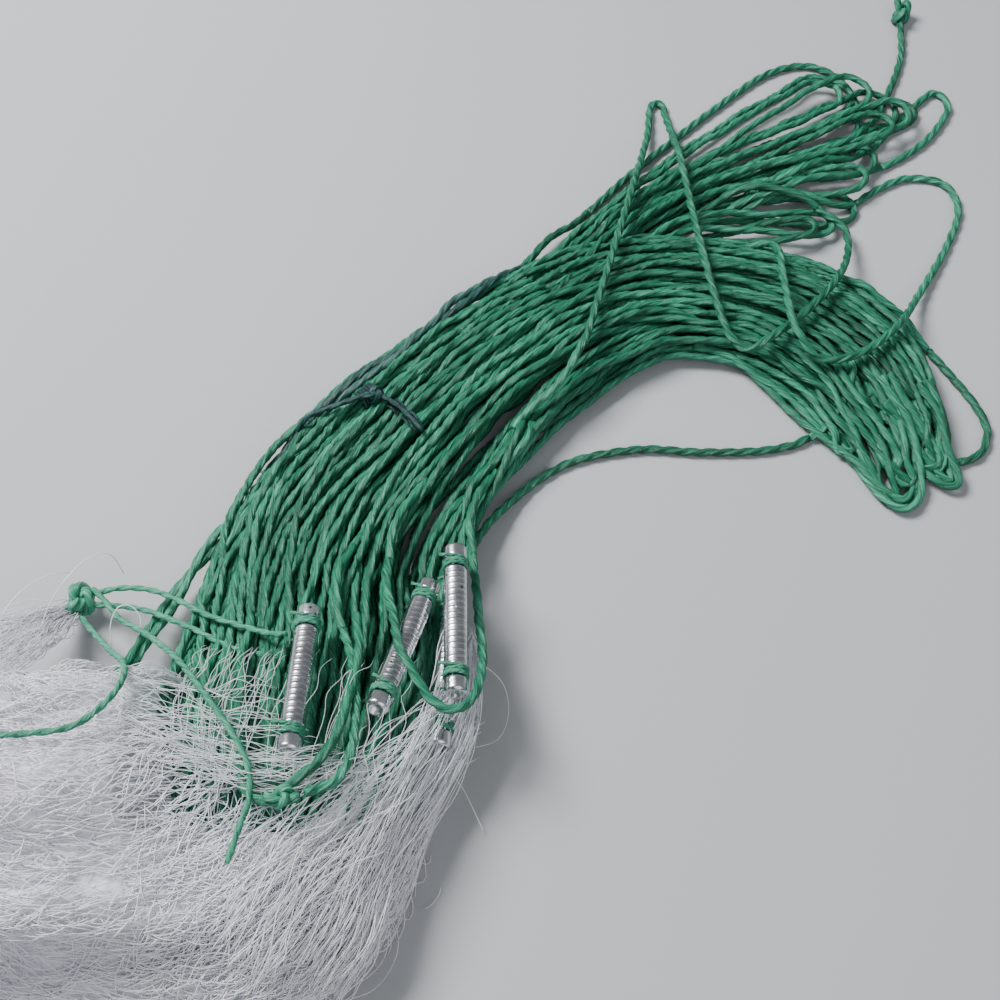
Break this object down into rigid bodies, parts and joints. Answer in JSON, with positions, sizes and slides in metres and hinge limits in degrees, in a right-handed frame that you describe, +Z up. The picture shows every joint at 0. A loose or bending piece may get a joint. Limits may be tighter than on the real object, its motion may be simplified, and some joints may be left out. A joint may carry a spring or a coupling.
{
  "type": "gill net with rope hank and sinkers",
  "caption": "Gathered bundle of white monofilament netting with its green twisted head and foot ropes laid up in a curved hank, tied with twine and lashed to small metal sinkers.",
  "frame": {"origin": "middle of the flat face on which the bundle of netting rests", "axes": "+X along the bundle of netting towards the ropes, +Y away from the user along the ropes, +Z up"},
  "size_m": [0.2769, 0.2594, 0.046],
  "materials": {
    "netting": "glossy white nylon monofilament, gathered",
    "green_rope": "twisted polyethylene rope, slightly glossy",
    "green_twine": "thin twisted polyethylene twine",
    "dark_twine": "dark teal seizing twine",
    "sinker_metal": "tinned metal, ribbed, slightly worn"
  },
  "bodies": {
    "root": {"hank_tie": "dark_twine", "hank_tie_tail": "dark_twine", "knot_left": "green_twine", "knot_middle": "green_twine", "knot_rope_end": "green_rope", "knot_tie": "dark_twine", "loose_rope_big_loop": "green_rope", "loose_rope_crest": "green_rope", "loose_rope_end": "green_rope", "loose_rope_round_sinker": "green_rope", "loose_rope_side_loop": "green_rope", "loose_rope_stray": "green_rope", "loose_rope_tip": "green_rope", "loose_rope_under_knot": "green_rope", "loose_rope_zigzag": "green_rope", "loose_twine_into_net": "green_twine", "loose_twine_lower": "green_twine", "loose_twine_tail": "green_twine", "loose_twine_upper": "green_twine", "net_bundle": "netting", "rope_hank": "green_rope", "seizing_left_lower": "green_twine", "seizing_left_upper": "green_twine", "seizing_middle_lower": "green_twine", "seizing_middle_upper": "green_twine", "seizing_right_lower": "green_twine", "seizing_right_upper": "green_twine", "seizing_under_lower": "green_twine", "seizing_under_upper": "green_twine", "sinker_left": "sinker_metal", "sinker_middle": "sinker_metal", "sinker_right": "sinker_metal", "sinker_under": "sinker_metal"}
  },
  "joints": []
}
